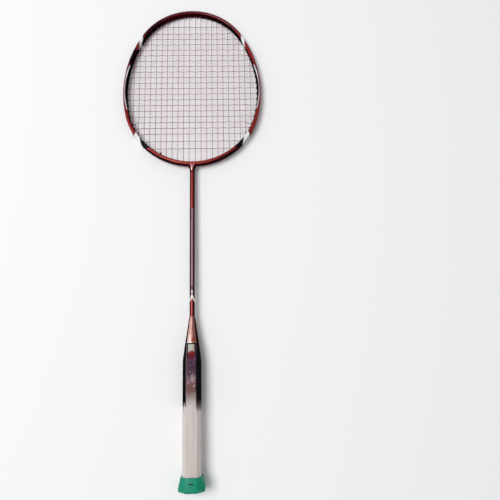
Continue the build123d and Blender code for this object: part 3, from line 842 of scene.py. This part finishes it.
def make_cap_plastic():
    """Green moulded plastic, a little scuffed, with a painted shade of a dent round the staples.
    """
    material, s, p, place = new_material("cap_plastic")
    x, y, _ = s.axes(place)
    tone = s.group(mottle, Vector=place, Scale=90.0, Strength=0.5)["Tone"]
    base = s.mix(s.minus(tone, 0.5), GREEN_DEEP, GREEN)
    marks = s.group(scratches, Vector=place, Scale=260.0, Amount=0.8)
    base = s.mix(s.times(marks["Lines"], 0.3), base, GREEN_SCUFF)
    # Painted shade where the staples would sit in a dent.
    dent = s.window(x, staple_low.x - 0.1 * MM, staple_high.x + 0.1 * MM, 0.3 * MM)
    along = s.window(y, staple_low.y - 0.2 * MM, staple_high.y + 0.2 * MM, 0.2 * MM)
    base = s.mix(s.times(dent, along, 0.9), base, GREEN_DENT_SHADE)
    s.feed(p.inputs["Base Color"], base)
    s.feed(p.inputs["Roughness"], s.plus(0.33, s.times(marks["Lines"], 0.2)))
    p.inputs["Specular IOR Level"].default_value = 0.18
    grain = s.noise(place, 2200.0, 2.0, 0.5)
    s.feed(p.inputs["Normal"], s.bump(grain, 0.03 * MM, 0.5))
    return material


def make_plain(name, tint, rough, grain_scale, metallic=0.0):
    """A plain moulded or drawn surface with fine grain and a little dust."""
    material, s, p, place = new_material(name)
    marks = s.group(scratches, Vector=place, Scale=600.0, Amount=0.3)
    tone = s.group(mottle, Vector=place, Scale=150.0, Strength=0.5)["Tone"]
    dusty = s.mix(s.times(marks["Dust"], 0.2), tint, DUST)
    s.feed(p.inputs["Base Color"], shaded(s, dusty, tone))
    s.feed(p.inputs["Roughness"], s.plus(rough, s.times(marks["Lines"], 0.2)))
    p.inputs["Metallic"].default_value = metallic
    p.inputs["Specular IOR Level"].default_value = 0.15
    grain = s.noise(place, grain_scale, 2.0, 0.5)
    s.feed(p.inputs["Normal"], s.bump(grain, 0.03 * MM, 0.5))
    return material


def make_film():
    """Worn film with a soft printed fade: a pale block, a red arch, violet, then rose."""
    material, s, p, place = new_material("film")
    dark_spot = (-0.6 * MM, 156.5 * MM, handle_depth / 2)
    arch_foot, arch_top_y, arch_bow = 162.8 * MM, 172.2 * MM, 150.0
    print_shift, print_half = 0.4 * MM, 4.0 * MM
    x, y, _ = s.axes(place)
    side = s.magnitude(x)
    cloud = s.minus(s.noise(place, 260.0, 4.0, 0.6), 0.5)
    base = s.ramp(s.plus(y, s.times(cloud, 8 * MM)), FILM_FADE)
    # Rubbed patch, dark spot and small blots in the violet.
    rubbed = s.window(y, 132.5 * MM, 141.0 * MM, 2.6 * MM)
    rubbed = s.times(rubbed, s.window(x, -0.6 * MM, 4.0 * MM, 1.6 * MM))
    flecks = s.noise(s.stretch(place, (1.0, 0.6, 1.0)), 620.0, 3.0, 0.6)
    rubbed = s.times(rubbed, s.step(flecks, 0.40, 0.58), 0.85)
    base = s.mix(rubbed, base, FILM_RUB)
    spot_away = s.vector_math("DISTANCE", place, dark_spot, output="Value")
    base = s.mix(s.step(spot_away, 0.8 * MM, 2.3 * MM, 0.7, 0.0), base, FILM_SPOT)
    blot = s.step(s.noise(s.stretch(place, (1.0, 1.6, 1.0)), 330.0, 3.0), 0.56, 0.68)
    blot = s.times(blot, s.window(y, 146 * MM, 158 * MM, 2 * MM), 0.75)
    base = s.mix(blot, base, FILM_BLOT)
    # The arch is flat at its foot and round at its top; the pale block stands on it.
    arch_top = s.minus(arch_top_y, s.times(x, x, arch_bow))
    print_side = s.magnitude(s.plus(x, print_shift))
    in_print = s.falling(print_side, print_half - 0.3 * MM, print_half + 0.3 * MM)
    beside = s.step(print_side, 3.8 * MM, 4.6 * MM)
    beside = s.times(beside, s.step(y, 160.0 * MM, 166.5 * MM))
    base = s.mix(beside, base, FILM_EDGE)
    arch = s.times(s.over_zero(s.minus(y, arch_foot), 1.2 * MM), in_print)
    base = s.mix(arch, base, s.mix(s.step(y, 163 * MM, 171 * MM), ARCH_DEEP, ARCH_RED))
    block = s.times(s.over_zero(s.minus(y, arch_top), 0.5 * MM), in_print)
    block_tint = s.mix(s.step(x, -1.0 * MM, 4.0 * MM), BLOCK_PALE, BLOCK_BROWN)
    base = s.mix(block, base, block_tint)
    # Wear: scratches, worn long edges, and black ink along the right edge.
    marks = s.group(scratches, Vector=place, Scale=520.0, Amount=1.0)
    scuffed = s.times(s.window(y, 122 * MM, 146 * MM, 4 * MM), 0.5)
    base = s.mix(s.times(marks["Lines"], s.plus(0.14, scuffed)), base, FILM_SCUFF)
    worn = s.noise(s.stretch(place, (1, 0.2, 1)), 500.0, 2.0)
    worn = s.times(s.step(side, 6.0 * MM, 6.4 * MM), s.step(worn, 0.50, 0.62), 0.35)
    base = s.mix(worn, base, FILM_WORN)
    inked = s.step(s.plus(x, s.times(cloud, 1.5 * MM)), 5.0 * MM, 5.8 * MM)
    base = s.mix(s.times(inked, 0.92), base, FILM_INK)
    s.feed(p.inputs["Base Color"], base)
    s.feed(p.inputs["Roughness"], s.plus(0.30, s.times(marks["Lines"], 0.3)))
    p.inputs["Specular IOR Level"].default_value = 0.05
    s.feed(p.inputs["Normal"], s.bump(s.noise(place, 220.0, 2.0), 0.2 * MM, 0.3))
    return material


def make_string_nylon():
    """Crimson nylon string with a fine grain."""
    material, s, p, place = new_material("string_nylon")
    tone = s.noise(place, 500.0, 2.0)
    s.feed(p.inputs["Base Color"], s.mix(tone, STRING_DEEP, STRING_LIGHT))
    s.feed(p.inputs["Roughness"], s.blend(tone, 0.30, 0.44))
    p.inputs["Specular IOR Level"].default_value = 0.12
    s.feed(p.inputs["Normal"], s.bump(s.noise(place, 4000.0, 1.0), 0.04 * MM, 0.4))
    return material


# ---- rim ----
def rim_section(with_groove):
    """Outline of the rim's section at the tip, in the plane x = 0, as (inset, z)."""
    half = rim_depth / 2
    corner = rim_rounding
    points = []
    for middle_inset, middle_z, start in (
        (corner, half - corner, 0),
        (rim_width - corner, half - corner, 90),
        (rim_width - corner, corner - half, 180),
        (corner, corner - half, 270),
    ):
        for step in range(rim_corner_steps + 1):
            angle = math.radians(start + step * 90 / rim_corner_steps)
            inset = middle_inset - corner * math.cos(angle)
            points.append((inset, middle_z + corner * math.sin(angle)))
    if with_groove:
        edge = groove_width / 2
        lip = groove_lip
        points += [
            (0, -edge - lip),
            (lip, -edge),
            (groove_depth - lip, -edge + lip / 2),
            (groove_depth, -edge + lip),
            (groove_depth, edge - lip),
            (groove_depth - lip, edge - lip / 2),
            (lip, edge),
            (0, edge + lip),
        ]
    return points


def swing(end):
    """Carry a section round the outline from the tip to this turn, clockwise."""
    for arc_start, arc_end, centre, _ in arcs:
        sweep = min(arc_end, end) - arc_start
        steps = max(1, math.ceil(math.degrees(sweep) / rim_step))
        bpy.ops.mesh.spin(steps=steps, angle=sweep, center=centre, axis=(0, 0, 1))


def mark_rim(obj):
    """Store each point's turn in degrees, inset in millimetres and height in millimetres."""
    layer = obj.data.attributes.new("rim_place", "FLOAT_VECTOR", "POINT")
    for vertex, value in zip(obj.data.vertices, layer.data):
        turn, inset = rim_place(vertex.co)
        value.vector = (math.degrees(turn), inset / MM, vertex.co.z / MM)


def make_rim():
    """The head's painted tube, one half swept and mirrored."""
    points = [(0, tip_y - inset, z) for inset, z in rim_section(True)]
    rim = draw_profile(points, closed=True)
    edit(rim, everything=True)
    swing(math.pi - throat_turn)
    bpy.ops.mesh.edge_face_add()
    end_edit()
    mirror_half(rim)
    finish_mesh(rim, "rim")
    mark_rim(rim)
    dress(rim, make_rim_paint())
    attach(rim, "root")
    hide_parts("head_frame")


def make_throat():
    """The tee: a short block of rim section and a flare down to the shaft."""
    points = [(0, throat_y + inset, z) for inset, z in rim_section(False)]
    block = draw_profile(points, closed=True)
    edit(block, everything=True)
    bpy.ops.mesh.spin(steps=2, angle=throat_turn, center=(0, base_y, 0), axis=(0, 0, 1))
    bpy.ops.mesh.edge_face_add()
    end_edit()
    mirror_half(block)
    deselect()
    bpy.ops.mesh.primitive_circle_add(
        vertices=neck_sides,
        radius=shaft_radius,
        location=(0, neck_start, 0),
        rotation=(math.pi / 2, 0, 0),
        fill_type="NGON",
    )
    neck = bpy.context.object
    bpy.ops.object.transform_apply(location=True, rotation=True)
    bpy.ops.object.mode_set(mode="EDIT")
    bpy.ops.mesh.select_all(action="SELECT")
    flare = throat_y - neck_start
    width = depth = 1.0
    for step in range(1, flare_steps + 1):
        share = step / flare_steps
        swell = share**3
        new_width = 1 + (throat_width / 2 / shaft_radius - 1) * swell
        new_depth = 1 + (throat_depth / 2 / shaft_radius - 1) * swell
        extrude((0, flare / flare_steps, 0))
        factors = (new_width / width, 1, new_depth / depth)
        middle = (0, neck_start + flare * share, 0)
        bpy.ops.transform.resize(value=factors, center_override=middle)
        width, depth = new_width, new_depth
    extrude((0, rim_width / 2, 0))
    throat = join([block, neck])
    finish_mesh(throat, "throat")
    dress(throat, make_throat_paint())
    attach(throat, "root")
    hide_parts("throat_joint")


# ---- shaft and cone ----
def make_shaft():
    """Straight round shaft from the throat into the handle."""
    bore = shaft_radius - shaft_wall
    line = [(bore, shaft_low.y), (shaft_radius, shaft_low.y)]
    line += [(shaft_radius, shaft_high.y), (bore, shaft_high.y), (bore, shaft_low.y)]
    shaft = lathe(line, shaft_sides)
    finish_mesh(shaft, "shaft_tube")
    dress(shaft, make_shaft_paint())
    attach(shaft, "root")
    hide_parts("shaft")


def make_cone():
    """Moulded cone, its flank very slightly hollow, with a small rim at the base."""
    base = (cone_high.x - cone_low.x) / 2
    length = cone_high.y - cone_low.y
    top = cone_high.y
    foot = cone_low.y
    line = [(shaft_radius, top - cone_edge), (shaft_radius + cone_tip_edge, top)]
    line += [(cone_tip_radius - 0.15 * MM, top), (cone_tip_radius, top - cone_tip_edge)]
    for step in range(1, cone_steps):
        share = step / cone_steps
        hollow = cone_hollow * math.sin(math.pi * share)
        radius = cone_tip_radius + (base - cone_tip_radius) * share - hollow
        line.append((radius, top - (length - cone_lip) * share))
    line += [(base - 0.1 * MM, foot + cone_lip + 0.1 * MM), (base, foot + cone_lip)]
    line += [(base, foot + cone_edge), (base - cone_edge, foot), (cone_seat_radius, foot)]
    cone = lathe(line, cone_sides)
    finish_mesh(cone, "shaft_cone", smooth=25)
    dress(cone, make_cone_finish())
    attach(cone, "root")
    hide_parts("cone")


# ---- handle and cap ----
def on_plane(point, y):
    return abs(point.y - y) < NEAR


def lengthways(a, b):
    return abs(a.y - b.y) > long_edge


def bevel_edges(obj, offset, segments, test):
    """Bevel the edges that pass a test of their two ends."""
    edit(obj, "EDGE")
    points = obj.data.vertices
    pick(obj, "edges", lambda e: test(points[e.vertices[0]].co, points[e.vertices[1]].co))
    bpy.ops.mesh.bevel(offset=offset, segments=segments, affect="EDGES", clamp_overlap=True)
    end_edit()


def octagon_bar(width, depth, start, end, share):
    """Eight-sided bar along Y; its flat facets have this share of its width and depth."""
    middle = (0, (start + end) / 2, 0)
    deselect()
    bpy.ops.mesh.primitive_cube_add(size=1, location=middle, scale=(width, end - start, width))
    bar = bpy.context.object
    bpy.ops.object.transform_apply(location=True, scale=True)
    bevel_edges(bar, width * (1 - share) / 2, 1, lengthways)
    edit(bar, everything=True)
    bpy.ops.transform.resize(value=(1, 1, depth / width), center_override=middle)
    end_edit()
    return bar


def resize_end(obj, y, factors, test=lambda point: True):
    """Scale those points of the end on this plane that pass a test."""
    edit(obj)
    pick(obj, "vertices", lambda v: on_plane(v.co, y) and test(v.co))
    bpy.ops.transform.resize(value=factors, center_override=(0, y, 0))
    end_edit()


def widen_facets(obj, y, width, depth, factor):
    """Make the flat facets wider at the end of a bar that lies on this plane."""
    resize_end(obj, y, (factor, 1, 1), lambda point: abs(point.z) > depth / 2 - NEAR)
    resize_end(obj, y, (1, 1, factor), lambda point: abs(point.x) > width / 2 - NEAR)


def cut_across(obj, y):
    """A ring of edges round a bar."""
    edit(obj, everything=True)
    bpy.ops.mesh.bisect(plane_co=(0, y, 0), plane_no=(0, 1, 0))
    end_edit()


def make_handle():
    """Bare octagonal handle with lightly rounded edges, tapered to the cone."""
    handle = octagon_bar(handle_width, handle_depth, wood_low.y, taper_end, facet_share)
    cut_across(handle, taper_start)
    factors = (taper_width / handle_width, 1, taper_depth / handle_depth)
    resize_end(handle, taper_end, factors)
    bevel_edges(handle, handle_rounding, edge_steps, lengthways)
    finish_mesh(handle, "bare_handle", smooth=12)
    dress(handle, make_wood())
    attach(handle, "root")
    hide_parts("handle_wood")


def make_cap():
    """Green butt cap, flared to the end, with a thin lip round the wood."""
    width = cap_high.x - cap_low.x
    depth = cap_high.z - cap_low.z
    end = cap_low.y
    mouth = cap_high.y
    cap = octagon_bar(width, depth, end, mouth, cap_end_share)
    cut_across(cap, cap_shoulder)
    resize_end(cap, mouth, (cap_mouth_width / width, 1, cap_mouth_depth / depth))
    share_factor = cap_mouth_share / cap_end_share
    widen_facets(cap, mouth, cap_mouth_width, cap_mouth_depth, share_factor)
    edit(cap, "FACE")
    pick(cap, "polygons", lambda f: f.normal.y > 0.9)
    bpy.ops.mesh.inset(thickness=(cap_mouth_width - handle_width) / 2 - cap_slack)
    extrude((0, -cap_mouth_dip, 0))
    end_edit()

    def round_end(a, b):
        return on_plane(a, end) and on_plane(b, end)

    def flank_edge(a, b):
        return lengthways(a, b) and min(a.y, b.y) > end + long_edge

    bevel_edges(cap, cap_end_rounding, cap_end_steps, round_end)
    bevel_edges(cap, cap_edge_rounding, edge_steps, flank_edge)
    finish_mesh(cap, "green_cap", smooth=18)
    dress(cap, make_cap_plastic())
    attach(cap, "root")
    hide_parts("butt_cap")


# ---- floor, light and camera ----
BACKDROP_LEVEL = 0.92
WORLD_LEVEL = 0.38
FLOOR_SIZE = 12
FLOOR_FADE = (0.8, 2.4)
LAMP_AIM = Vector((0, 0.34, 0))
LAMP_TOWARD = Vector((-0.42, 0.05, 0.90)).normalized()
LAMP_DISTANCE = 3.5
LAMP_SIZE = 1.8
LAMP_POWER = 86.0
CAMERA_PLACE = Vector((0.0615, 0.1709, 0.6666))
CAMERA_TILT, CAMERA_YAW, CAMERA_ROLL = -11.443, 1.487, 1.004  # degrees
CAMERA_SENSOR, CAMERA_LENS = 36.0, 35.64  # millimetres


def seen_ray(s):
    """One for what the camera sees, itself or in a gloss or through glass."""
    path = s.node("ShaderNodeLightPath").outputs
    mirrored = s.largest(path["Is Glossy Ray"], path["Is Transmission Ray"])
    return s.largest(path["Is Camera Ray"], mirrored)


def make_floor():
    """Pale floor that touches the cap's heel and the tip, and turns into the backdrop."""
    rest_low = cap_low.z
    tip_low = head_low.z
    slope = math.atan2(tip_low - rest_low, tip_y - cap_shoulder)
    middle = Vector((0, (tip_y + cap_shoulder) / 2, (rest_low + tip_low) / 2))
    deselect()
    bpy.ops.mesh.primitive_plane_add(size=FLOOR_SIZE, location=middle, rotation=(slope, 0, 0))
    floor = bpy.context.object
    floor.name = "floor"
    material = bpy.data.materials.new("floor_white")
    s = empty_tree(material)
    out = s.node("ShaderNodeOutputMaterial")
    diffuse = s.node("ShaderNodeBsdfDiffuse", {0: FLOOR_WHITE})
    backdrop = s.node("ShaderNodeEmission", {0: FULL_WHITE, 1: BACKDROP_LEVEL})
    place = s.node("ShaderNodeTexCoord").outputs["Object"]
    away = s.vector_math("DISTANCE", place, (0.0, 0.0, 0.0), output="Value")
    fade = s.times(s.step(away, *FLOOR_FADE), seen_ray(s))
    sockets = {0: fade, 1: diffuse.outputs[0], 2: backdrop.outputs[0]}
    s.feed(out.inputs[0], s.node("ShaderNodeMixShader", sockets).outputs[0])
    floor.data.materials.append(material)


def make_lights():
    """A large soft light overhead and to the left, and an even pale world."""
    lamp = bpy.data.lights.new("key", "AREA")
    lamp.size = LAMP_SIZE
    lamp.energy = LAMP_POWER
    obj = bpy.data.objects.new("key", lamp)
    bpy.context.scene.collection.objects.link(obj)
    obj.location = LAMP_AIM + LAMP_TOWARD * LAMP_DISTANCE
    obj.rotation_mode = "QUATERNION"
    obj.rotation_quaternion = (-LAMP_TOWARD).to_track_quat("-Z", "Y")
    world = bpy.data.worlds.new("soft_white")
    bpy.context.scene.world = world
    s = empty_tree(world)
    out = s.node("ShaderNodeOutputWorld")
    level = s.blend(seen_ray(s), WORLD_LEVEL, BACKDROP_LEVEL)
    s.feed(out.inputs[0], s.node("ShaderNodeBackground", {0: FULL_WHITE, 1: level}).outputs[0])


def make_camera():
    """Camera above the handle, looking down at the whole racket."""
    roll = Matrix.Rotation(math.radians(CAMERA_ROLL), 3, "Z")
    yaw = Matrix.Rotation(math.radians(CAMERA_YAW), 3, "Y")
    tilt = Matrix.Rotation(math.radians(CAMERA_TILT), 3, "X")
    turn = roll @ yaw @ tilt
    camera = bpy.data.objects.new("camera", bpy.data.cameras.new("camera"))
    bpy.context.scene.collection.objects.link(camera)
    camera.data.sensor_width = CAMERA_SENSOR
    camera.data.lens = CAMERA_LENS
    camera.matrix_world = Matrix.Translation(CAMERA_PLACE) @ turn.transposed().to_4x4()
    bpy.context.scene.camera = camera


def dress_cad_nodes():
    """Finishes of the frame's own nodes that stay in sight."""
    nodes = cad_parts
    grommet_black = make_plain("grommet_black", GROMMET_BLACK, 0.42, 1500.0)
    string_nylon = make_string_nylon()
    staple_steel = make_plain("staple_steel", STAPLE_DARK, 0.50, 900.0, metallic=0.8)
    for name, node in nodes.items():
        if name.startswith("grommet_strip"):
            dress(node, grommet_black)
    for name in ("main_string", "cross_string", "string_knots"):
        dress(nodes[name], string_nylon)
    dress(nodes["cap_staples"], staple_steel)
    dress(nodes["handle_film"], make_film())


make_camera()
make_lights()
make_floor()
make_rim()
make_throat()
make_shaft()
make_cone()
make_handle()
make_cap()
dress_cad_nodes()

bpy.context.scene.view_settings.view_transform = "Standard"
bpy.context.view_layer.update()
